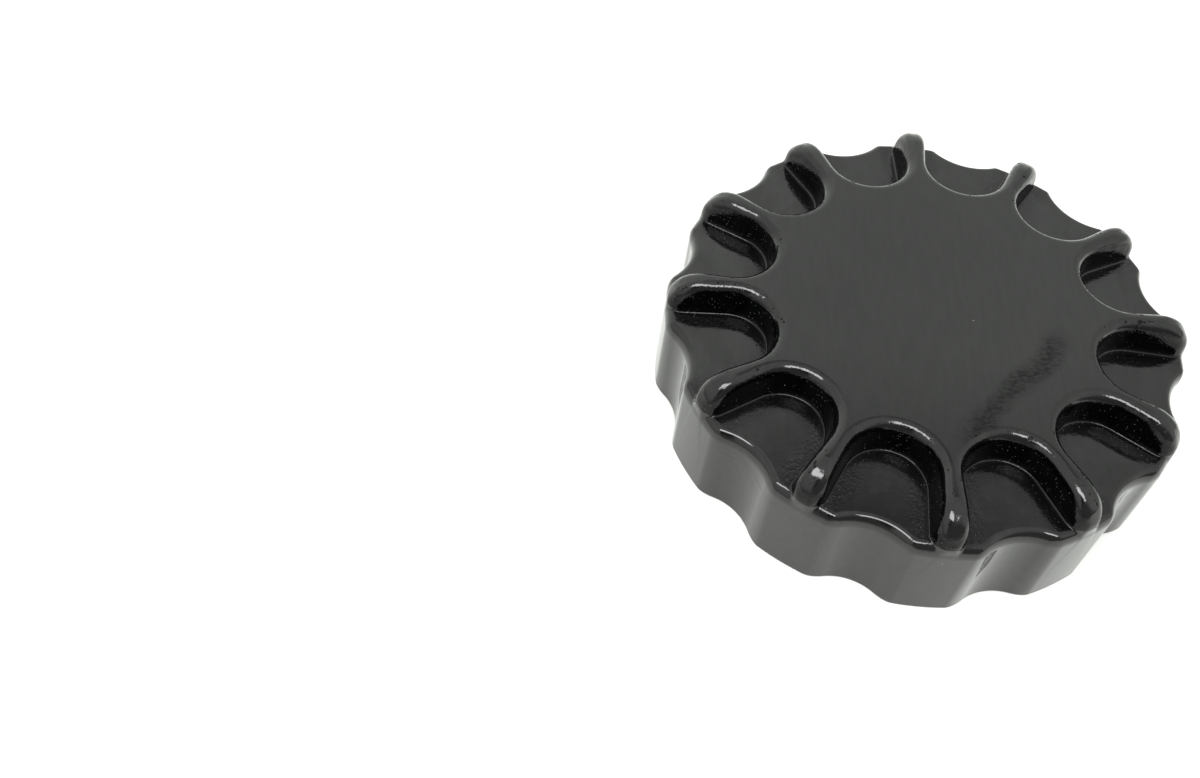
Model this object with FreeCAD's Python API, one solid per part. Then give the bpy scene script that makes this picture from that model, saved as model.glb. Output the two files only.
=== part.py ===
import FreeCAD, Part
import math
import os

from FreeCAD import Vector

# Screw-on filler cap: a one-piece body in gloss black enamel and a flat
# rubber gasket held in a relief groove behind the thread.
# The cap stands on its open rim: z = 0 is the rim plane, +Z points up through
# the crown, and +X runs along the centre of one rib.  Units are mm.

# Gasket and the groove it lies in
gasket_od = 101.6
gasket_id = 63.5
gasket_t = 3.2
gasket_edge_r = 0.25
gasket_play = 0.7           # radial room around the gasket in its groove
lip_gap = 1.2               # from the gasket's open face to the groove's lower wall

# Mouth and thread
gasket_catch = 1.0          # how far the thread reaches in over the gasket's edge
thread_depth = 1.4          # groove depth
thread_pitch = 4.233        # six turns to the inch, right hand
thread_len = 5.2            # full bore between the lead-in and the relief groove
groove_mouth_w = 2.4        # width of the groove at the bore
groove_root_w = 0.6         # width of the groove at its bottom
chamfer_z = 0.9             # height of the chamfer at the rim
chamfer_w = 1.2             # and its radial width
chamfer_step = 1.6          # chamfer's inner end, out from the bore
lead_in_h = 1.2             # height of the cone from there in to the bore

# Grip rim
grips = 12                  # lobes, ribs and finger pockets around the cap
wall_t = 4.85               # metal between the relief groove and a scallop
web_t = 13.3                # metal between the gasket's seat and a pocket floor
scallop_r = 13.0            # radius of one scallop between two lobes
scallop_depth = 3.15        # how far a scallop cuts inside the lobe radius
scallop_corner_r = 1.8      # softened corner where a lobe meets a scallop
shoulder_edge_r = 1.8       # rounding along the top of the grip rim
rim_edge_r = 0.7            # rounding along the outside of the open rim

# Crown, ribs and finger pockets
pocket_depth = 8.1          # from the flat crown down to the pocket floor
pocket_inset = 12.5         # centre of a pocket's inner arc, in from the lobes
rib_top_w = 4.05            # least width of a rib between its walls at the crown
rib_flat = 0.7              # flat left there between the roundings of its edges
nose_floor_r = 3.65         # radius of a rib's rounded end on the pocket floor
nose_step = 0.4             # that end's foot, in from the lobes
draft_deg = 7.0             # draft of the pocket walls
roll_r = 8.5                # roll-over of the rib tops, tangent to the lobes
floor_fillet_r = 0.4        # fillet between a pocket's wall and its floor

# What follows from these
step = 2.0 * math.pi / grips
half_step = step / 2.0
draft = math.radians(draft_deg)
relief_r = gasket_od / 2.0 + gasket_play
thread_crest_r = gasket_od / 2.0 - gasket_catch
thread_root_r = thread_crest_r + thread_depth
chamfer_r = thread_crest_r + chamfer_step
mouth_r = chamfer_r + chamfer_w
lead_in_z = chamfer_z + lead_in_h
relief_z = lead_in_z + thread_len
seat_z = relief_z + lip_gap + gasket_t
lobe_r = relief_r + wall_t + scallop_depth
shoulder_z = seat_z + web_t
crown_z = shoulder_z + pocket_depth
pocket_c_r = lobe_r - pocket_inset
rib_half_w = rib_top_w / 2.0 + pocket_depth * math.tan(draft)
pocket_floor_r = pocket_c_r * math.sin(half_step) - rib_half_w
crown_edge_r = (rib_top_w - rib_flat) / 2.0 / math.tan(math.pi / 4.0 - draft / 2.0)
nose_c_r = lobe_r - nose_step - nose_floor_r

tiny = 1e-3                 # tolerance when faces and edges are looked up
clear = 5.0                 # how far a cutting tool starts outside the metal


def at(radius, angle):
    """Point in the XY plane at a radius and an angle in radians."""
    return Vector(radius * math.cos(angle), radius * math.sin(angle), 0.0)


def towards(start, end):
    """Unit vector from one point to another."""
    return (end - start).normalize()


def arc(first, middle, last):
    """Arc edge through three points."""
    return Part.Arc(first, middle, last).toShape()


def around(edges):
    """Closed outline: one sector's edges, in order, repeated around Z."""
    outline = []
    for k in range(grips):
        for edge in edges:
            copy = edge.copy()
            copy.rotate(Vector(0, 0, 0), Vector(0, 0, 1), math.degrees(k * step))
            outline.append(copy)
    return Part.Wire(outline)


def revolved(profile):
    """Solid of revolution about Z from a closed profile wire in the XZ plane."""
    return Part.Face(profile).revolve(Vector(0, 0, 0), Vector(0, 0, 1), 360)


def polygon(points):
    """Closed wire in the XZ plane through (radius, z) points."""
    corners = [Vector(r, 0, z) for r, z in points]
    return Part.makePolygon(corners + [corners[0]])


def rim_outline():
    """Lobes and scallops with softened corners.

    A corner arc touches the lobe circle from inside and the scallop circle
    from outside, so its centre lies lobe_r - c from the axis and
    scallop_r + c from the scallop's centre; the cosine rule gives its angle.
    """
    c = scallop_corner_r
    scallop_c = lobe_r - scallop_depth + scallop_r
    to_axis = lobe_r - c
    to_scallop = scallop_r + c
    cos_apart = (to_axis ** 2 + scallop_c ** 2 - to_scallop ** 2) / (2 * to_axis * scallop_c)
    turn = half_step - math.acos(cos_apart)
    hollow = at(scallop_c, half_step)

    def corner(centre):
        """Ends and middle of the corner arc, from the lobe to the scallop."""
        out = towards(Vector(0, 0, 0), centre)
        over = towards(centre, hollow)
        middle = (out + over).normalize()
        return centre + out * c, centre + middle * c, centre + over * c

    lobe_end, middle_a, scallop_start = corner(at(to_axis, turn))
    next_lobe, middle_b, scallop_end = corner(at(to_axis, step - turn))
    lobe_start = Vector(lobe_end.x, -lobe_end.y, 0)
    return around([
        arc(lobe_start, at(lobe_r, 0.0), lobe_end),
        arc(lobe_end, middle_a, scallop_start),
        arc(scallop_start, at(scallop_c - scallop_r, half_step), scallop_end),
        arc(scallop_end, middle_b, next_lobe),
    ])


def edges_at(shape, height):
    """Edges whose ends all lie at one height."""
    found = []
    for edge in shape.Edges:
        if all(abs(v.Z - height) < tiny for v in edge.Vertexes):
            found.append(edge)
    return found


def make_rim():
    """The scalloped grip rim: a straight prism with rounded edges."""
    rim = Part.Face(rim_outline()).extrude(Vector(0, 0, shoulder_z))
    rim = rim.makeFillet(shoulder_edge_r, edges_at(rim, shoulder_z))
    return rim.makeFillet(rim_edge_r, edges_at(rim, 0.0))


def crown_outline(z):
    """Outline of the crown and its ribs at a height z.

    With height a pocket's arc grows and a rib's rounded end shrinks by the
    same draft, so the rib's straight side stays tangent to both circles.
    """
    grow = (z - shoulder_z) * math.tan(draft)
    pocket_r = pocket_floor_r + grow
    nose_r = nose_floor_r - grow
    pocket = at(pocket_c_r, half_step)
    nose = at(nose_c_r, 0.0)
    apart = nose - pocket
    side = math.atan2(apart.y, apart.x) + math.asin((pocket_r + nose_r) / apart.Length)
    side_normal = side + math.pi / 2.0
    on_nose = nose + at(nose_r, side_normal)
    on_pocket = pocket - at(pocket_r, side_normal)

    def across(p):
        """The same point on the other side of the pocket's middle line."""
        return at(p.Length, step - math.atan2(p.y, p.x))

    outline = around([
        arc(Vector(on_nose.x, -on_nose.y, 0), at(nose_c_r + nose_r, 0.0), on_nose),
        Part.makeLine(on_nose, on_pocket),
        arc(on_pocket, at(pocket_c_r - pocket_r, half_step), across(on_pocket)),
        Part.makeLine(across(on_pocket), across(on_nose)),
    ])
    outline.translate(Vector(0, 0, z))
    return outline


def make_crown():
    """Crown and ribs: the tapered outline kept inside a disc whose edge
    rolls over in a quarter circle down to the lobes, with its top edges
    rounded."""
    foot_z = shoulder_z - shoulder_edge_r
    taper = Part.makeLoft([crown_outline(foot_z), crown_outline(crown_z + clear)], True, True)
    roll_c_r = lobe_r - roll_r
    roll_c_z = crown_z - roll_r
    low_z = min(foot_z, roll_c_z) - clear
    diagonal = math.sqrt(0.5) * roll_r
    axis_low = Vector(0, 0, low_z)
    side_low = Vector(lobe_r, 0, low_z)
    roll_low = Vector(lobe_r, 0, roll_c_z)
    roll_mid = Vector(roll_c_r + diagonal, 0, roll_c_z + diagonal)
    roll_top = Vector(roll_c_r, 0, crown_z)
    axis_top = Vector(0, 0, crown_z)
    disc = revolved(Part.Wire([
        Part.makeLine(axis_low, side_low),
        Part.makeLine(side_low, roll_low),
        arc(roll_low, roll_mid, roll_top),
        Part.makeLine(roll_top, axis_top),
        Part.makeLine(axis_top, axis_low),
    ]))
    crown = taper.common(disc).Solids[0]

    # the edges to round are those that only one of the top faces owns
    owned = []
    for face in crown.Faces:
        rolled = face.Surface.TypeId == "Part::GeomToroid"
        flat = face.Surface.TypeId == "Part::GeomPlane"
        if rolled or flat and abs(face.CenterOfMass.z - crown_z) < tiny:
            owned += [edge.hashCode() for edge in face.Edges]
    top_edges = []
    for edge in crown.Edges:
        above_foot = max(v.Z for v in edge.Vertexes) > foot_z + tiny
        if owned.count(edge.hashCode()) == 1 and above_foot:
            top_edges.append(edge)
    return crown.makeFillet(crown_edge_r, top_edges)


def fillet_floors(body):
    """Fillet where the pocket walls stand on the pocket floors."""
    rounded = set()
    for face in body.Faces:
        if face.Surface.TypeId == "Part::GeomToroid":
            rounded.update(edge.hashCode() for edge in face.Edges)
    edges = []
    for face in body.Faces:
        flat = face.Surface.TypeId == "Part::GeomPlane"
        if flat and abs(face.CenterOfMass.z - shoulder_z) < tiny:
            edges += [edge for edge in face.Edges if edge.hashCode() not in rounded]
    return body.makeFillet(floor_fillet_r, edges)


def make_bore():
    """What is turned out of the inside: chamfer, lead-in cone, bore, relief
    groove and seat."""
    return revolved(polygon([
        (0, -clear), (mouth_r, -clear), (mouth_r, 0),
        (chamfer_r, chamfer_z), (thread_crest_r, lead_in_z),
        (thread_crest_r, relief_z), (relief_r, relief_z),
        (relief_r, seat_z), (0, seat_z),
    ]))


def groove_tools():
    """Tools for the thread groove: a section with sloping flanks swept along
    a right-hand helix, in equal lengths of under half a turn.

    The groove comes in from below the rim and runs out into the relief.
    """
    start_z = -groove_mouth_w
    end_z = relief_z + groove_mouth_w / 2.0 + lip_gap / 2.0
    half_root = groove_root_w / 2.0
    half_mouth = groove_mouth_w / 2.0
    reach = thread_depth / 2.0              # how far a tool stands into the open bore
    half_reach = half_mouth + reach * (half_mouth - half_root) / thread_depth
    section = polygon([
        (thread_crest_r - reach, -half_reach), (thread_root_r, -half_root),
        (thread_root_r, half_root), (thread_crest_r - reach, half_reach),
    ])
    count = math.ceil(2.0 * (end_z - start_z) / thread_pitch)
    rise = (end_z - start_z) / count
    turn = math.degrees(2.0 * math.pi * rise / thread_pitch)
    path = Part.makeHelix(thread_pitch, rise, thread_crest_r)
    first = Part.Wire(path.Edges).makePipeShell([section], True, True)
    tools = []
    for k in range(count):
        tool = first.copy()
        tool.rotate(Vector(0, 0, 0), Vector(0, 0, 1), k * turn)
        tool.translate(Vector(0, 0, start_z + k * rise))
        tools.append(tool)
    return tools


def make_body():
    """Rim and crown in one piece, with the inside turned and threaded."""
    body = fillet_floors(make_rim().fuse(make_crown())).cut(make_bore())
    for tool in groove_tools():
        body = body.cut(tool)
    return body.Solids[0]


def make_gasket():
    """Flat ring lying against the seat, with its edges just broken."""
    foot = Vector(0, 0, seat_z - gasket_t)
    ring = Part.makeCylinder(gasket_od / 2.0, gasket_t, foot)
    hole = Part.makeCylinder(gasket_id / 2.0, gasket_t, foot)
    ring = ring.cut(hole)
    circles = [edge for edge in ring.Edges if len(edge.Vertexes) == 1]
    return ring.makeFillet(gasket_edge_r, circles)


os.makedirs("parts", exist_ok=True)
make_body().exportStep("parts/cap_body.step")
make_gasket().exportStep("parts/gasket.step")
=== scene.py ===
import math

import bpy
import numpy as np
from mathutils import Matrix, Vector


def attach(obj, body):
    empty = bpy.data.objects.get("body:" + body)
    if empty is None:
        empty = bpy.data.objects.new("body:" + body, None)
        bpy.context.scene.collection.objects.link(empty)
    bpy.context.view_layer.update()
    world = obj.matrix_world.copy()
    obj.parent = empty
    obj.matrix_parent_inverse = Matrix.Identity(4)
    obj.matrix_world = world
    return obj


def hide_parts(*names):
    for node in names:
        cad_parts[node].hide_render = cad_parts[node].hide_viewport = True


MM = 0.001
TAU = 2.0 * math.pi

# Shape of the casting, in mm, as the frame has it
GRIPS = 12
LOBE_R = 59.5
SCALLOP_R = 13.0
SCALLOP_DEPTH = 3.15
CORNER = 1.3                    # rounding where a lobe meets a scallop
RIM_DRAFT = math.radians(0.8)   # the rim is a little wider at its foot
SHOULDER_Z = 25.0
SHOULDER_R = 2.1
SHOULDER_SQUASH = 0.65          # the rounding reaches further down than in
RIM_EDGE_R = 0.9
CROWN_Z = 33.1
POCKET_C_R = 47.0
POCKET_R = 9.14
NOSE_C_R = 56.0
NOSE_R = 3.65
DRAFT = math.radians(7.0)
ROLL_R = 8.5
EDGE_R = 2.1                    # rounding of the crown's edge at the pockets
EDGE_POWER = 8.0                # how sharply one rounding passes into the other
RIB_FILL = 0.95                 # share of a full round along the narrow ribs
FLOOR_R = 0.3
MOUTH_R = 52.6
CHAMFER_R = 51.4
CHAMFER_Z = 0.9
BORE_R = 49.8
LEAD_IN_Z = 2.1
RELIEF_R = 51.5
RELIEF_Z = 7.3
SEAT_Z = 11.7
THREAD_PITCH = 4.233
THREAD_START_Z = -2.4
THREAD_DEPTH = 1.4
GROOVE_MOUTH_W = 2.4
GROOVE_ROOT_W = 0.6

# Centres of the scallops' arcs and of the roll-over's arc, in mm
SCALLOP_C_R = LOBE_R - SCALLOP_DEPTH + SCALLOP_R
ROLL_C_R = LOBE_R - ROLL_R
ROLL_C_Z = CROWN_Z - ROLL_R

# Points of the grids on each stretch, and how near points are joined, in mm
NOSE_POINTS = 14
SIDE_POINTS = 8
ARC_POINTS = 22
RIDGE_STEPS = 5
BORE_POINTS = 360
BORE_ROWS = 74
JOIN_WITHIN = 2e-4

# Marks on the enamel: ends of a smear on the crown in metres, parting line in mm
SMEAR_FROM = (-0.00917, -0.02692, 0.0)
SMEAR_TO = (-0.03700, -0.00351, 0.0)
SMEAR_ANGLE = -2.44
PARTING_Z = 18.4

# Brightness of the room, as (degrees over from the camera's side, value)
ROOM_SCALE = 2.5
ROOM_TINT = (0.985, 1.02, 0.98)
ROOM_MIDDLE = ((0, 0.5), (14, 0.4), (30, 0.14), (46, 0.14), (58, 1.0), (70, 1.2), (116, 1.1),
               (119, 0.45), (123, 0.42), (124.5, 0.7), (126.5, 1.0), (128.5, 1.15), (131, 1.3),
               (138, 1.18), (150, 1.25), (180, 1.6))
ROOM_LEFT = ((0, 1.0), (20, 1.1), (40, 1.25), (90, 1.2), (110, 1.45), (140, 1.5), (180, 1.4))
ROOM_RIGHT = ((0, 0.38), (36, 0.36), (46, 0.5), (58, 0.9), (70, 1.2), (100, 1.3), (125, 1.05),
              (155, 0.95), (180, 0.75))

# Camera, in metres, and its direction seen from the cap
CAMERA_AT = Vector((-0.17843, 0.07258, 0.23485))
CAMERA_TURN = (1.9569, -1.7867, 0.6309)
CAMERA_LENS = 35.95             # mm, on a sensor 36 mm wide
FRONT = Vector((CAMERA_AT.x, CAMERA_AT.y, 0)).normalized()

# Ceiling light: its height as seen from the cap, its size in metres, radiance
LIGHT_ELEVATION = math.radians(60.0)
LIGHT_DISTANCE = 1.2
LIGHT_LENGTH = 1.05
LIGHT_WIDTH = 0.34
LIGHT_RADIANCE = 12.0

STEP = TAU / GRIPS
HALF = STEP / 2.0

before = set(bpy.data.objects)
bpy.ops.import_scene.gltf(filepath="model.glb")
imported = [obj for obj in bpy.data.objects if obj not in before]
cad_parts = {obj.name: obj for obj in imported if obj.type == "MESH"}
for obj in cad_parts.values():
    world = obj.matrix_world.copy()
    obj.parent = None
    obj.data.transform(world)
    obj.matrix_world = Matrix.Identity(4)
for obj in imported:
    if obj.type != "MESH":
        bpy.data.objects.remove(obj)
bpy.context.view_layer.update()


# Surface of the casting

def tangent_side():
    """Where a rib's straight side touches its rounded end and the pocket's
    arc, and the unit normal that points from the rib into the pocket."""
    nose = np.array([NOSE_C_R, 0.0])
    pocket = POCKET_C_R * np.array([math.cos(HALF), math.sin(HALF)])
    apart = nose - pocket
    along = math.atan2(apart[1], apart[0])
    along += math.asin((POCKET_R + NOSE_R) / np.hypot(*apart))
    normal = np.array([-math.sin(along), math.cos(along)])
    return nose, pocket, nose + NOSE_R * normal, pocket - POCKET_R * normal, normal


NOSE, POCKET, ON_NOSE, ON_POCKET, SIDE_NORMAL = tangent_side()


def fold(x, y):
    """The same point in the half sector between a rib and a pocket."""
    radius = np.hypot(x, y)
    angle = np.abs((np.arctan2(y, x) + HALF) % STEP - HALF)
    return radius * np.cos(angle), radius * np.sin(angle), radius


def wall_distance(x, y):
    """Distance from a pocket's wall line on its floor, positive over the
    floor: from the rib end's arc, the straight side or the pocket's arc,
    whichever the point lies beside."""
    run = ON_POCKET - ON_NOSE
    length = np.hypot(*run)
    run = run / length
    beside = (x - ON_NOSE[0]) * run[0] + (y - ON_NOSE[1]) * run[1]
    line = (x - ON_NOSE[0]) * SIDE_NORMAL[0] + (y - ON_NOSE[1]) * SIDE_NORMAL[1]
    nose = np.hypot(x - NOSE[0], y - NOSE[1]) - NOSE_R
    pocket = POCKET_R - np.hypot(x - POCKET[0], y - POCKET[1])
    return np.where(beside < 0, nose, np.where(beside > length, pocket, line))


def rounded(a, b, r):
    """Intersection of two solids from their signed distances, with its edge
    rounded: the length of both distances past -r, less r."""
    a = a + r
    b = b + r
    outside = np.sqrt(np.maximum(a, 0) ** 2 + np.maximum(b, 0) ** 2)
    return np.minimum(np.maximum(a, b), 0) + outside - r


def edge_radius(radius):
    """Rounding along the crown's edge: full along the pockets, and a share of
    the widest circle that fits where a rib is narrow.  The two are joined by
    the inverse of the power mean of their inverses, a soft minimum."""
    top = np.where(radius > ROLL_C_R, roll_top(radius), CROWN_Z)
    half_width = -wall_distance(radius, np.zeros_like(radius))
    fits = half_width * math.cos(DRAFT) - (top - SHOULDER_Z) * math.sin(DRAFT)
    fits = RIB_FILL * np.maximum(fits, 0.2) / (1.0 - math.sin(DRAFT))
    return (fits ** -EDGE_POWER + EDGE_R ** -EDGE_POWER) ** (-1.0 / EDGE_POWER)


def roll_top(radius):
    """Height of the roll-over that the rib tops follow down to the lobes."""
    past = np.clip(radius - ROLL_C_R, 0, ROLL_R)
    return ROLL_C_Z + np.sqrt(ROLL_R ** 2 - past ** 2)


def crown_height(radius):
    """Height of the flat crown, or of the roll-over past it."""
    return np.minimum(CROWN_Z, roll_top(radius))


def surface(p):
    """Signed distance from the outside of the casting, negative in the metal:
    the crown with its drafted walls and the rim with its scallops, joined
    with a small fillet and cut off at the open face."""
    x, y, radius = fold(p[:, 0], p[:, 1])
    z = p[:, 2]
    wall = (wall_distance(x, y) + (z - SHOULDER_Z) * math.tan(DRAFT)) * math.cos(DRAFT)
    out = np.maximum(radius - ROLL_C_R, 0)
    turned = np.hypot(out, np.maximum(z - ROLL_C_Z, 0)) - ROLL_R
    past = np.where(z < ROLL_C_Z, radius - LOBE_R, turned)
    top = np.where(radius < ROLL_C_R, z - CROWN_Z, past)
    crown = rounded(wall, top, edge_radius(radius))
    away = np.hypot(x - SCALLOP_C_R * math.cos(HALF), y - SCALLOP_C_R * math.sin(HALF))
    side = rounded(radius - LOBE_R, SCALLOP_R - away, CORNER)
    side = side - (SHOULDER_Z - z) * math.tan(RIM_DRAFT)
    rim = rounded(side, (z - SHOULDER_Z) * SHOULDER_SQUASH, SHOULDER_R)
    both = -rounded(-crown, -rim, FLOOR_R)
    return rounded(both, -z, RIM_EDGE_R)


def slope(p):
    """Gradient of the signed distance, by central differences."""
    h = 2e-3
    g = np.empty_like(p)
    for axis in range(3):
        ahead = p.copy()
        behind = p.copy()
        ahead[:, axis] += h
        behind[:, axis] -= h
        g[:, axis] = (surface(ahead) - surface(behind)) / (2 * h)
    return g


def settle(p, rounds=12, longest=0.6):
    """Moves points onto the surface along its gradient: each round by the
    distance over the gradient's square, and by no more than longest."""
    for _ in range(rounds):
        g = slope(p)
        size = np.maximum((g ** 2).sum(1), 0.05)
        move = -(surface(p) / size)[:, None] * g
        length = np.sqrt((move ** 2).sum(1))
        move *= np.minimum(1.0, longest / np.maximum(length, 1e-9))[:, None]
        p = p + move
    return p


def wall_line(nose_count, side_count, pocket_count):
    """Points and outward normals along a wall's foot, from the rib's tip to
    the pocket's middle line."""
    end = math.atan2(SIDE_NORMAL[1], SIDE_NORMAL[0])
    turn = np.linspace(0, end, nose_count, endpoint=False)
    nose_n = np.column_stack([np.cos(turn), np.sin(turn)])
    t = np.linspace(0, 1, side_count, endpoint=False)[:, None]
    side = ON_NOSE * (1 - t) + ON_POCKET * t
    start = math.atan2(-SIDE_NORMAL[1], -SIDE_NORMAL[0]) % TAU
    last = HALF + math.pi
    turn = np.linspace(start, last, pocket_count)
    out = np.column_stack([np.cos(turn), np.sin(turn)])
    points = np.vstack([NOSE + NOSE_R * nose_n, side, POCKET + POCKET_R * out])
    normals = np.vstack([nose_n, np.tile(SIDE_NORMAL, (side_count, 1)), -out])
    return points, normals


def rim_line(share):
    """Points and outward normals along the rim's outline, from a lobe's
    middle to a scallop's middle, at shares of the way by angle."""
    angle = share * HALF
    middle = SCALLOP_C_R * np.cos(HALF - angle)
    under = SCALLOP_R ** 2 - (SCALLOP_C_R * np.sin(HALF - angle)) ** 2
    cut = middle - np.sqrt(np.maximum(under, 0))
    radius = np.where(under > 0, np.minimum(cut, LOBE_R), LOBE_R)
    out = np.column_stack([np.cos(angle), np.sin(angle)])
    return out * radius[:, None], out


def spread(a, b, count):
    """Points from a towards b, evenly, without b."""
    t = np.arange(count) / count
    return a[:, None, :] + (b - a)[:, None, :] * t[None, :, None]


def with_z(points, z):
    """Plan points with a height each."""
    return np.column_stack([points, np.broadcast_to(z, len(points))])


def half_sector():
    """Grid of the outside between a rib's and a pocket's middle lines: each
    column runs from the rib's ridge over the crown's edge, down the wall,
    over the floor and shoulder, down the side and in to the mouth.  The stops
    are first guesses, which settle moves onto the surface."""
    foot, normal = wall_line(NOSE_POINTS, SIDE_POINTS, ARC_POINTS)
    count = len(foot)
    rim, out = rim_line(np.linspace(0, 1, count) ** 0.9)
    r = edge_radius(np.hypot(foot[:, 0], foot[:, 1]))

    # the crown's edge, inside and outside its rounding, on this side of the
    # ridge, with an allowance for how far the wall leans in
    lean = 1.36
    past_nose = np.maximum(np.arange(count) - NOSE_POINTS, 0)
    inset = np.minimum(lean + 0.95 * r, 0.78 * NOSE_R + 0.1 * past_nose)
    edge_in = foot - normal * inset[:, None]
    edge_out = foot - normal * (0.75 * lean)
    for edge in (edge_in, edge_out):
        edge[:, 1] = np.maximum(edge[:, 1], 0.0)
    ridge = np.column_stack([edge_in[:, 0], np.zeros(count)])
    top_out = crown_height(np.hypot(*edge_out.T)) - 0.9 * r
    top_out = np.maximum(top_out, SHOULDER_Z + 0.9)

    # the floor, which sags where the wall comes close to the rim
    gap = np.hypot(*(rim - foot).T)
    floor_in = foot + normal * np.minimum(0.35, 0.2 * gap)[:, None]
    floor_out = rim - out * np.minimum(SHOULDER_R * 1.45, 0.7 * gap)[:, None]
    sag = 0.5 * np.clip(1.2 - gap, 0, 1)

    # lines across the columns, each with its steps to the next
    mouth = with_z(MOUTH_R * out, 0.0)
    stops = [
        (with_z(ridge, crown_height(ridge[:, 0])), RIDGE_STEPS),
        (with_z(edge_in, crown_height(np.hypot(*edge_in.T))), 9),
        (with_z(edge_out, top_out), 4),
        (with_z(foot, SHOULDER_Z + 0.3), 4),
        (with_z(floor_in, SHOULDER_Z), 3),
        (with_z(floor_out, SHOULDER_Z - sag), 14),
        (with_z(rim, SHOULDER_Z - SHOULDER_R * 1.6), 7),
        (with_z(rim, RIM_EDGE_R), 5),
        (with_z(rim - out * RIM_EDGE_R, 0.0), 2),
        (mouth, 0),
    ]
    rows = [spread(a, b, steps) for (a, steps), (b, _) in zip(stops, stops[1:])]
    rows.append(mouth[:, None, :])
    grid = np.concatenate(rows, axis=1)
    flat = settle(grid.reshape(-1, 3)).reshape(grid.shape)

    # the mouth stays as it is, and the outer lines stay on the sector's sides
    flat[:, -1] = grid[:, -1]
    flat[0, :, 1] = 0.0
    flat[:, 0, 1] = 0.0
    end = flat[-1, RIDGE_STEPS:]
    reach = end[:, 0] * math.cos(HALF) + end[:, 1] * math.sin(HALF)
    end[:, 0] = reach * math.cos(HALF)
    end[:, 1] = reach * math.sin(HALF)
    return flat


def middle_of_crown(grid):
    """Grid of the flat crown inside the ridge points: the last column's flat
    part, drawn in towards the axis."""
    edge = grid[-1, :RIDGE_STEPS + 1]
    shares = np.array([1.0, 0.85, 0.65, 0.4, 0.18, 0.0])
    inner = edge[None, :, :] * shares[:, None, None]
    inner[:, :, 2] = CROWN_Z
    return inner


def bore_grid():
    """Inside of the mouth as a grid around the axis: chamfer, lead-in cone and
    bore with the thread's groove, relief groove and seat.  The groove's middle
    climbs one pitch per turn, and its depth falls to nothing along straight
    flanks.  The grid is open at the mouth and around a tiny hole on the axis."""
    angle = np.arange(BORE_POINTS) * TAU / BORE_POINTS
    z = np.linspace(0.0, RELIEF_Z, BORE_ROWS)
    plain = np.interp(z, [0.0, CHAMFER_Z, LEAD_IN_Z], [MOUTH_R, CHAMFER_R, BORE_R])
    climb = THREAD_START_Z + THREAD_PITCH * angle / TAU
    aside = z[None, :] - climb[:, None]
    aside = (aside + THREAD_PITCH / 2) % THREAD_PITCH - THREAD_PITCH / 2
    flank = (GROOVE_MOUTH_W - GROOVE_ROOT_W) / 2
    deep = np.clip((GROOVE_MOUTH_W / 2 - np.abs(aside)) / flank, 0, 1)
    radius = np.maximum(plain[None, :], BORE_R + THREAD_DEPTH * deep)
    seat = [RELIEF_R, RELIEF_R - 0.4, 20.0, 0.001]
    z = np.concatenate([z, [RELIEF_Z], [SEAT_Z] * len(seat)])
    radius = np.hstack([radius, np.tile([RELIEF_R] + seat, (BORE_POINTS, 1))])
    x = radius * np.cos(angle)[:, None]
    y = radius * np.sin(angle)[:, None]
    vertices = np.stack([x, y, np.broadcast_to(z, x.shape)], -1)
    index = np.arange(x.size).reshape(x.shape)
    after = np.roll(index, -1, axis=0)
    faces = np.stack([index[:, :-1], index[:, 1:], after[:, 1:], after[:, :-1]], -1)
    return vertices.reshape(-1, 3), faces.reshape(-1, 4).tolist()


def around(grids):
    """One mesh from the half sector's grids, mirrored and turned to all
    sectors, with shared points joined: vertices and faces."""
    points = []
    faces = []
    offset = 0
    for grid in grids:
        rows, cols = grid.shape[:2]
        index = np.arange(rows * cols).reshape(rows, cols)
        quads = np.stack([index[:-1, :-1], index[1:, :-1], index[1:, 1:], index[:-1, 1:]], -1)
        quads = quads.reshape(-1, 4)
        for k in range(GRIPS):
            c, s = math.cos(k * STEP), math.sin(k * STEP)
            for flip in (1.0, -1.0):
                p = grid.reshape(-1, 3) * np.array([1.0, flip, 1.0])
                x = c * p[:, 0] - s * p[:, 1]
                y = s * p[:, 0] + c * p[:, 1]
                points.append(np.column_stack([x, y, p[:, 2]]))
                faces.append((quads if flip < 0 else quads[:, ::-1]) + offset)
                offset += len(p)
    points = np.vstack(points)
    faces = np.vstack(faces)
    keys = np.round(points / JOIN_WITHIN).astype(np.int64)
    _, keep, same = np.unique(keys, axis=0, return_index=True, return_inverse=True)
    faces = same.reshape(-1)[faces]
    whole = []
    for face in faces.tolist():
        ring = [v for n, v in enumerate(face) if v != face[n - 1]]
        if len(set(ring)) == len(ring) and len(ring) > 2:
            whole.append(ring)
    return points[keep], whole


def region_weights(vertices, normals):
    """Shares by which each point lies in a pocket, on or near its wall, on the
    crown's rounded edge, and on the open rim's face, from its height, its
    normal and its distance from the wall."""
    z = vertices[:, 2]
    up = normals[:, 2]
    above = np.clip((z - SHOULDER_Z - 0.1) / 0.2, 0, 1)
    wall = above * np.clip((0.55 - up) / 0.25, 0, 1)
    floor = np.clip((0.3 - np.abs(z - SHOULDER_Z)) / 0.2, 0, 1) * np.clip((up - 0.2) / 0.2, 0, 1)
    edge = above * np.clip((0.985 - up) / 0.03, 0, 1) * np.clip((up - 0.35) / 0.3, 0, 1)
    face = np.clip((-0.8 - up) / 0.15, 0, 1)
    x, y, _ = fold(vertices[:, 0], vertices[:, 1])
    foot = floor * np.clip((4.8 - wall_distance(x, y)) / 3.2, 0, 1)
    return {"in_pocket": np.maximum(wall, floor), "near_wall": np.maximum(wall, foot),
            "on_wall": wall, "on_edge": edge, "on_face": face}


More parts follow.
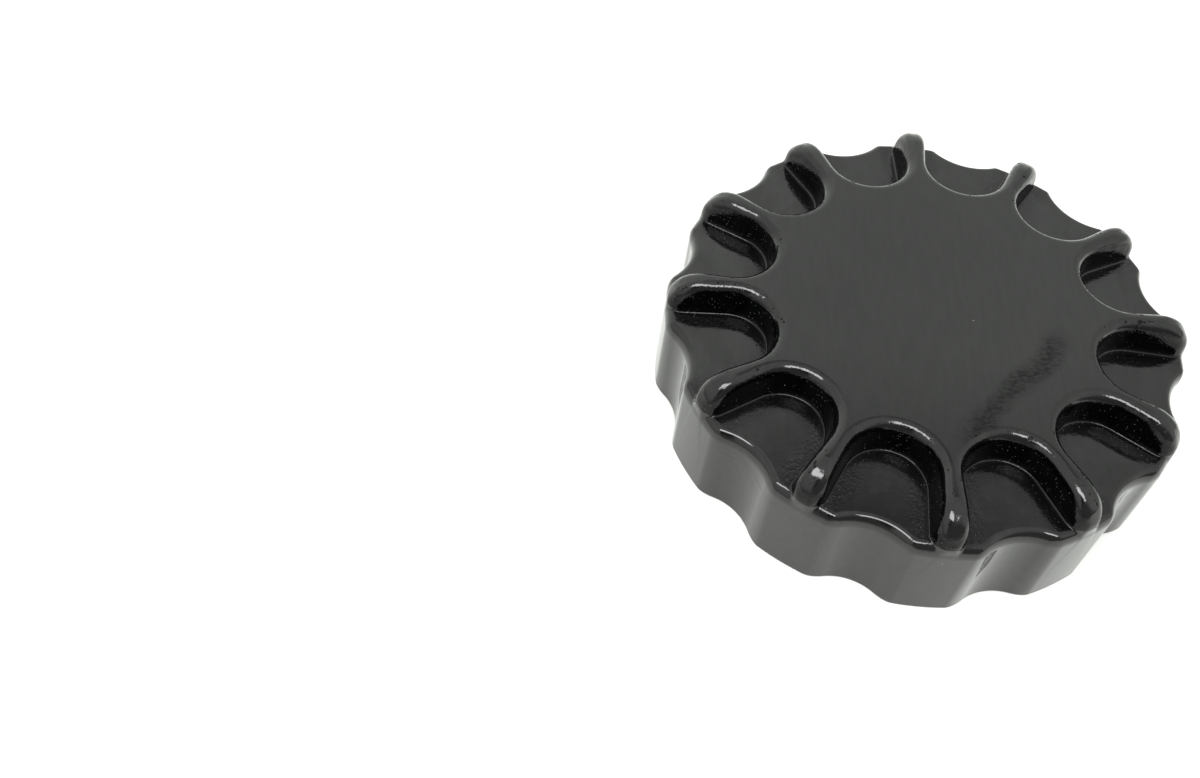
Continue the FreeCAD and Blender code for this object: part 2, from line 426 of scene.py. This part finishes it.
def new_piece(name, vertices, faces, looks, weights=None):
    """New mesh object from vertices in mm, with a material and shares per
    point for it."""
    mesh = bpy.data.meshes.new(name)
    mesh.from_pydata((vertices * MM).tolist(), [], faces)
    mesh.materials.append(looks)
    mesh.polygons.foreach_set("use_smooth", [True] * len(mesh.polygons))
    for key, values in (weights or {}).items():
        mesh.attributes.new(key, "FLOAT", "POINT").data.foreach_set("value", values)
    piece = bpy.data.objects.new(name, mesh)
    bpy.context.scene.collection.objects.link(piece)
    return piece


# Materials

ENAMEL = (0.0022, 0.0024, 0.0023, 1)
ENAMEL_CLOUD = (0.0036, 0.0038, 0.0035, 1)
# painted shade: a darker enamel colour for the pocket walls and the floor beside them
ENAMEL_PAINTED_SHADE_BY_WALL = (0.0006, 0.0007, 0.0007, 1)
ENAMEL_OPEN_FACE = (0.012, 0.012, 0.011, 1)
ENAMEL_FILM = (0.008, 0.008, 0.0078, 1)
# painted highlight: pale colour for specks that stand in for glints of light
ENAMEL_PAINTED_GLINT = (0.10, 0.105, 0.10, 1)
DUST = (0.35, 0.36, 0.33, 1)
METAL = (0.80, 0.76, 0.67, 1)
METAL_STAIN = (0.46, 0.42, 0.34, 1)
METAL_RING = (0.30, 0.27, 0.22, 1)
CHIPPED_ENAMEL = (0.012, 0.012, 0.012, 1)
RUBBER = (0.017, 0.022, 0.030, 1)
RUBBER_BLOOM = (0.038, 0.044, 0.052, 1)
RUBBER_SCRATCH = (0.12, 0.13, 0.14, 1)
RUBBER_SPECK = (0.55, 0.55, 0.52, 1)
PAPER = (0.93, 0.935, 0.91, 1)
PAPER_UNEVEN = (0.945, 0.945, 0.925, 1)
PAPER_FAR = (0.4, 0.4, 0.39, 1)


class Looks:
    """A node material with short ways to add nodes to it."""

    def __init__(self, name):
        self.material = bpy.data.materials.new(name)
        self.material.use_nodes = True
        self.tree = self.material.node_tree
        self.shader = self.tree.nodes["Principled BSDF"]
        self.place = self.add("ShaderNodeTexCoord").outputs["Object"]

    def add(self, kind, inputs=(), **settings):
        """Node with settings, and inputs that are values or sockets."""
        made = self.tree.nodes.new(kind)
        for key, value in settings.items():
            setattr(made, key, value)
        for key, value in dict(inputs).items():
            self.feed(made.inputs[key], value)
        return made

    def feed(self, socket, value):
        """Links a socket to an output, or sets its value."""
        if isinstance(value, bpy.types.NodeSocket):
            self.tree.links.new(value, socket)
        else:
            socket.default_value = value

    def set(self, **inputs):
        """Inputs of the shader, with _ for spaces in their names."""
        for key, value in inputs.items():
            self.feed(self.shader.inputs[key.replace("_", " ")], value)

    def math(self, operation, a, b=0.0, c=0.0):
        """One arithmetic step."""
        return self.add("ShaderNodeMath", {0: a, 1: b, 2: c}, operation=operation).outputs[0]

    def times(self, a, b):
        """Product of two values."""
        return self.math("MULTIPLY", a, b)

    def layered(self, base, *layers):
        """Base, plus each layer's share times its amount."""
        for share, amount in layers:
            base = self.math("MULTIPLY_ADD", share, amount, base)
        return base

    def ease(self, value, low, high, start=0.0, end=1.0):
        """Smooth step from start at low to end at high."""
        inputs = {"Value": value, "From Min": low, "From Max": high, "To Min": start, "To Max": end}
        made = self.add("ShaderNodeMapRange", inputs, interpolation_type="SMOOTHSTEP")
        return made.outputs["Result"]

    def stretched(self, scale, turn=(0.0, 0.0, 0.0)):
        """Object coordinates turned and scaled along each axis."""
        inputs = {"Vector": self.place, "Scale": scale, "Rotation": turn}
        return self.add("ShaderNodeMapping", inputs).outputs["Vector"]

    def noise(self, size, detail=2.0, place=None):
        """Noise with features of a size in mm, around 0.5."""
        inputs = {"Vector": place or self.place, "Scale": 1.0 / (size * MM), "Detail": detail}
        return self.add("ShaderNodeTexNoise", inputs).outputs["Fac"]

    def specks(self, spacing, radius, share):
        """Small round spots: 1 within a radius in mm of a share of the points
        of a loose grid."""
        inputs = {"Vector": self.place, "Scale": 1.0 / (spacing * MM)}
        cells = self.add("ShaderNodeTexVoronoi", inputs)
        near = self.ease(cells.outputs["Distance"], radius / spacing, 0.5 * radius / spacing)
        pick = self.add("ShaderNodeSeparateColor", {"Color": cells.outputs["Color"]})
        return self.times(near, self.math("LESS_THAN", pick.outputs["Red"], share))

    def mix(self, share, a, b):
        """Colour between two colours."""
        made = self.add("ShaderNodeMix", data_type="RGBA")
        for socket, value in ((made.inputs[0], share), (made.inputs[6], a), (made.inputs[7], b)):
            self.feed(socket, value)
        return made.outputs[2]

    def share(self, name):
        """The mesh's own share per point."""
        return self.add("ShaderNodeAttribute", attribute_name=name).outputs["Fac"]

    def bump(self, height):
        """Relief whose height is in mm."""
        inputs = {"Height": height, "Distance": MM, "Strength": 1.0}
        made = self.add("ShaderNodeBump", inputs)
        self.feed(self.shader.inputs["Normal"], made.outputs["Normal"])


def make_enamel():
    """Gloss black enamel: near-black under a clear skin, grainy in the
    pockets, with nicks on the crown's edges, a smear, dust and a faint
    parting line around the rim, and painted shade and painted glint
    specks on and near the pocket walls."""
    looks = Looks("black_enamel")
    pocket = looks.share("in_pocket")
    near = looks.share("near_wall")
    wall = looks.share("on_wall")
    edge = looks.share("on_edge")
    face = looks.share("on_face")
    x, y, z = looks.add("ShaderNodeSeparateXYZ", {"Vector": looks.place}).outputs
    clouds = looks.noise(9.0, 4.0)
    wisps = looks.noise(2.2, 3.0, looks.stretched((0.3, 1.6, 1.0), (0, 0, 1.1)))
    grain = looks.noise(0.42, 1.5)
    fine = looks.noise(0.16, 1.0)

    dust = looks.specks(6.0, 0.12, 0.25)
    pits = looks.specks(1.3, 0.2, 0.3)
    nicked = looks.layered(looks.noise(1.2, 3.0), (looks.noise(7.0), 0.6))
    nicks = looks.times(edge, looks.ease(nicked, 0.97, 1.02))

    # a smear across the crown, along a line between two points
    start = Vector(SMEAR_FROM)
    run = Vector(SMEAR_TO) - start
    length = run.length
    run.normalize()
    dx = looks.math("SUBTRACT", x, start.x)
    dy = looks.math("SUBTRACT", y, start.y)
    along = looks.math("ADD", looks.times(dx, run.x), looks.times(dy, run.y))
    aside = looks.math("SUBTRACT", looks.times(dx, run.y), looks.times(dy, run.x))
    sway = looks.math("SUBTRACT", looks.noise(11.0, 5.0), 0.5)
    ragged = looks.layered(aside, (sway, 8.0 * MM))
    width = looks.ease(looks.math("ABSOLUTE", ragged), 4.2 * MM, 0.0)
    near_end = looks.ease(along, -6 * MM, 4 * MM)
    far_end = looks.ease(along, length + 6 * MM, length - 4 * MM)
    on_crown = looks.ease(z, 32.8 * MM, 33.0 * MM)
    worn = looks.times(looks.times(width, looks.times(near_end, far_end)), on_crown)
    streaks = looks.noise(0.6, 3.0, looks.stretched((1.0, 0.45, 1.0), (0, 0, SMEAR_ANGLE)))
    smear = looks.times(worn, looks.ease(streaks, 0.38, 0.62, 0.45, 1.0))

    # the parting line around the rim, broken up
    off_line = looks.math("ABSOLUTE", looks.math("SUBTRACT", z, PARTING_Z * MM))
    line = looks.ease(off_line, 0.22 * MM, 0.05 * MM)
    line = looks.times(line, looks.ease(looks.noise(14.0), 0.42, 0.6))

    shade = looks.mix(looks.ease(clouds, 0.35, 0.7), ENAMEL, ENAMEL_CLOUD)
    # painted shade: the enamel is darker on the pocket walls and on the floor beside them
    shade = looks.mix(near, shade, ENAMEL_PAINTED_SHADE_BY_WALL)
    shade = looks.mix(face, shade, ENAMEL_OPEN_FACE)
    film = looks.math("SUBTRACT", pocket, near)
    film = looks.times(film, looks.ease(looks.noise(3.5, 6.0), 0.52, 0.72, 0.0, 0.6))
    shade = looks.mix(film, shade, ENAMEL_FILM)
    # painted highlight: small pale specks near the pocket walls stand in for sparkles of light in
    # the grain
    painted_glints = looks.times(looks.specks(0.6, 0.13, 0.5), near)
    painted_glints = looks.times(painted_glints, looks.ease(looks.noise(5.0), 0.42, 0.6, 0.15, 1.0))
    shade = looks.mix(painted_glints, shade, ENAMEL_PAINTED_GLINT)
    looks.set(Base_Color=looks.mix(dust, shade, DUST))

    looks.set(Roughness=looks.layered(
        0.05, (looks.ease(clouds, 0.4, 0.75), 0.03), (smear, 0.1), (nicks, 0.35),
        (face, 0.33), (dust, 0.5), (edge, 0.05)))

    cloudy_pocket = looks.times(pocket, looks.ease(clouds, 0.45, 0.62))
    looks.set(Specular_IOR_Level=looks.layered(
        looks.ease(wisps, 0.3, 0.7, 0.475, 0.515), (cloudy_pocket, -0.07),
        (smear, -0.32), (wall, -0.24), (near, -0.08), (nicks, -0.4), (line, -0.12)))

    depth = looks.layered(0.0004, (pocket, 0.003), (near, 0.025), (worn, 0.01))
    coarse = looks.times(looks.noise(0.8, 1.0), near)
    wavy_edge = looks.times(looks.noise(1.5, 3.0), edge)
    looks.bump(looks.layered(
        looks.times(grain, depth), (coarse, 0.045), (fine, 0.00025),
        (looks.noise(3.5, 3.0), 0.012), (nicks, -0.03), (wavy_edge, 0.09),
        (looks.times(pits, near), -0.07), (line, 0.02)))
    return looks.material


def make_bare_metal():
    """Turned cast aluminium, warm with age: fine rings, darker stains, and
    the enamel's edge left on the chamfer."""
    looks = Looks("bare_metal")
    x, y, z = looks.add("ShaderNodeSeparateXYZ", {"Vector": looks.place}).outputs
    radius = looks.math("SQRT", looks.math("ADD", looks.times(x, x), looks.times(y, y)))
    path = looks.add("ShaderNodeCombineXYZ", {"X": looks.math("ADD", radius, z)}).outputs[0]
    rings = looks.noise(0.18, 2.0, path)
    in_bore = looks.ease(z, 8.0 * MM, 7.0 * MM, 0.15, 1.0)
    stains = looks.times(looks.ease(looks.noise(7.0, 5.0), 0.42, 0.7), in_bore)
    on_chamfer = looks.ease(z, 1.05 * MM, 0.8 * MM)
    chipped = looks.times(on_chamfer, looks.ease(looks.noise(3.4, 5.0), 0.41, 0.5))
    shade = looks.mix(stains, METAL, METAL_STAIN)
    shade = looks.mix(looks.ease(rings, 0.55, 0.7, 0.0, 0.35), shade, METAL_RING)
    looks.set(Base_Color=looks.mix(chipped, shade, CHIPPED_ENAMEL))
    looks.set(Metallic=looks.math("SUBTRACT", 1.0, chipped))
    looks.set(Roughness=looks.ease(looks.layered(stains, (rings, 0.4)), 0.1, 1.2, 0.26, 0.5))
    looks.bump(looks.times(rings, 0.006))
    return looks.material


def make_rubber():
    """Dark blue-grey rubber with cloudy lighter patches, fine scratches and
    white specks."""
    looks = Looks("gasket_rubber")
    clouds = looks.noise(11.0, 5.0)
    scratch_a = looks.noise(0.7, 1.0, looks.stretched((0.06, 1.0, 1.0), (0, 0, 0.5)))
    scratch_b = looks.noise(0.6, 1.0, looks.stretched((1.0, 0.05, 1.0), (0, 0, -0.35)))
    lines = looks.ease(scratch_a, 0.73, 0.78)
    lines = looks.math("MAXIMUM", lines, looks.ease(scratch_b, 0.74, 0.79))
    shade = looks.mix(looks.ease(clouds, 0.45, 0.68), RUBBER, RUBBER_BLOOM)
    shade = looks.mix(looks.times(lines, 0.4), shade, RUBBER_SCRATCH)
    looks.set(Base_Color=looks.mix(looks.specks(3.2, 0.14, 0.3), shade, RUBBER_SPECK))
    looks.set(Roughness=looks.ease(clouds, 0.35, 0.7, 0.42, 0.68))
    looks.bump(looks.layered(looks.times(lines, -0.01), (looks.noise(0.5, 3.0), 0.01)))
    return looks.material


def make_paper():
    """White paper, very slightly uneven, and greyer toward the camera beyond
    the picture's edge, as the light falls off there."""
    looks = Looks("white_paper")
    white = looks.mix(looks.ease(looks.noise(60.0, 3.0), 0.3, 0.7), PAPER, PAPER_UNEVEN)
    x, y, _ = looks.add("ShaderNodeSeparateXYZ", {"Vector": looks.place}).outputs
    toward = looks.math("ADD", looks.times(x, FRONT.x), looks.times(y, FRONT.y))
    looks.set(Base_Color=looks.mix(looks.ease(toward, 0.12, 0.25), white, PAPER_FAR))
    looks.set(Roughness=0.9, Specular_IOR_Level=0.1)
    return looks.material


# Pieces
grid = half_sector()
vertices, faces = around([grid, middle_of_crown(grid)])
normals = slope(vertices)
normals /= np.linalg.norm(normals, axis=1)[:, None]
weights = region_weights(vertices, normals)
shell = new_piece("enamelled_casting", vertices, faces, make_enamel(), weights)
shell.data.normals_split_custom_set_from_vertices(normals.tolist())
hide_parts("cap_body")
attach(shell, "root")

vertices, faces = bore_grid()
bore = new_piece("machined_bore", vertices, faces, make_bare_metal())
bore.data.set_sharp_from_angle(angle=math.radians(30))
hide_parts("cap_body")
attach(bore, "root")

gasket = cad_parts["gasket"]
gasket.data.materials.clear()
gasket.data.materials.append(make_rubber())

# Ground
ground_mesh = bpy.data.meshes.new("ground")
ground_mesh.from_pydata([(-3, -3, 0), (3, -3, 0), (3, 3, 0), (-3, 3, 0)], [], [(0, 1, 2, 3)])
ground_mesh.materials.append(make_paper())
ground = bpy.data.objects.new("ground", ground_mesh)
bpy.context.scene.collection.objects.link(ground)

# Camera and lights
turn_angle = math.sqrt(sum(v * v for v in CAMERA_TURN))
turn = Matrix.Rotation(turn_angle, 3, Vector(CAMERA_TURN) / turn_angle)
camera = bpy.data.objects.new("camera", bpy.data.cameras.new("camera"))
bpy.context.scene.collection.objects.link(camera)
camera.data.lens = CAMERA_LENS
camera.data.sensor_width = 36.0
camera.data.clip_start = 0.01
placed = Matrix((turn[0], -turn[1], -turn[2])).transposed().to_4x4()
placed.translation = CAMERA_AT
camera.matrix_world = placed
bpy.context.scene.camera = camera
bpy.context.scene.view_settings.view_transform = "Standard"


def make_ceiling_light():
    """Rectangular light across the camera's vertical plane, facing the cap."""
    data = bpy.data.lights.new("ceiling_light", "AREA")
    data.shape = "RECTANGLE"
    data.size = LIGHT_LENGTH
    data.size_y = LIGHT_WIDTH
    data.energy = LIGHT_RADIANCE * math.pi * LIGHT_LENGTH * LIGHT_WIDTH
    lamp = bpy.data.objects.new("ceiling_light", data)
    back = FRONT * math.cos(LIGHT_ELEVATION) + Vector((0, 0, math.sin(LIGHT_ELEVATION)))
    across = Vector((-FRONT.y, FRONT.x, 0))
    placed = Matrix((across, back.cross(across), back)).transposed().to_4x4()
    placed.translation = back * LIGHT_DISTANCE
    lamp.matrix_world = placed
    bpy.context.scene.collection.objects.link(lamp)


def make_room():
    """World that the enamel mirrors: how bright the room is over the angle
    from the camera's side (0) over the zenith (90) to the far side (180), in
    degrees, for the middle and for both sides of the camera's plane."""
    world = bpy.data.worlds.new("room")
    bpy.context.scene.world = world
    world.use_nodes = True
    nodes = world.node_tree.nodes
    links = world.node_tree.links

    def step(operation, a, b=0.0, c=0.0):
        made = nodes.new("ShaderNodeMath")
        made.operation = operation
        for socket, value in zip(made.inputs, (a, b, c)):
            if isinstance(value, bpy.types.NodeSocket):
                links.new(value, socket)
            else:
                socket.default_value = value
        return made.outputs[0]

    def toward(direction):
        made = nodes.new("ShaderNodeVectorMath")
        made.operation = "DOT_PRODUCT"
        links.new(coords, made.inputs[0])
        made.inputs[1].default_value = direction
        return made.outputs["Value"]

    def brightness(angle, stops):
        made = nodes.new("ShaderNodeValToRGB")
        links.new(angle, made.inputs[0])
        band = made.color_ramp
        while len(band.elements) < len(stops):
            band.elements.new(0.5)
        for element, (degrees, value) in zip(band.elements, stops):
            v = value / ROOM_SCALE
            element.position = degrees / 180.0
            element.color = (v * ROOM_TINT[0], v * ROOM_TINT[1], v * ROOM_TINT[2], 1)
        return made.outputs["Color"]

    def eased(value, low, high):
        made = nodes.new("ShaderNodeMapRange")
        made.interpolation_type = "SMOOTHSTEP"
        links.new(value, made.inputs["Value"])
        made.inputs["From Min"].default_value = low
        made.inputs["From Max"].default_value = high
        return made.outputs[0]

    def mixed(share, a, b):
        made = nodes.new("ShaderNodeMix")
        made.data_type = "RGBA"
        for socket, value in zip((made.inputs[0], made.inputs[6], made.inputs[7]), (share, a, b)):
            links.new(value, socket)
        return made.outputs[2]

    coords = nodes.new("ShaderNodeTexCoord").outputs["Generated"]
    aside = toward(Vector((FRONT.y, -FRONT.x, 0)))
    over = step("ARCTAN2", toward(Vector((0, 0, 1))), toward(FRONT))
    slanted = step("MULTIPLY_ADD", aside, 0.3, over)
    angle = step("DIVIDE", over, math.pi)
    middle = brightness(step("DIVIDE", slanted, math.pi), ROOM_MIDDLE)
    left = brightness(angle, ROOM_LEFT)
    right = brightness(angle, ROOM_RIGHT)
    around_it = mixed(eased(aside, 0.05, 0.25), middle, left)
    around_it = mixed(eased(aside, -0.06, -0.22), around_it, right)
    links.new(around_it, nodes["Background"].inputs["Color"])
    nodes["Background"].inputs["Strength"].default_value = ROOM_SCALE


make_ceiling_light()
make_room()
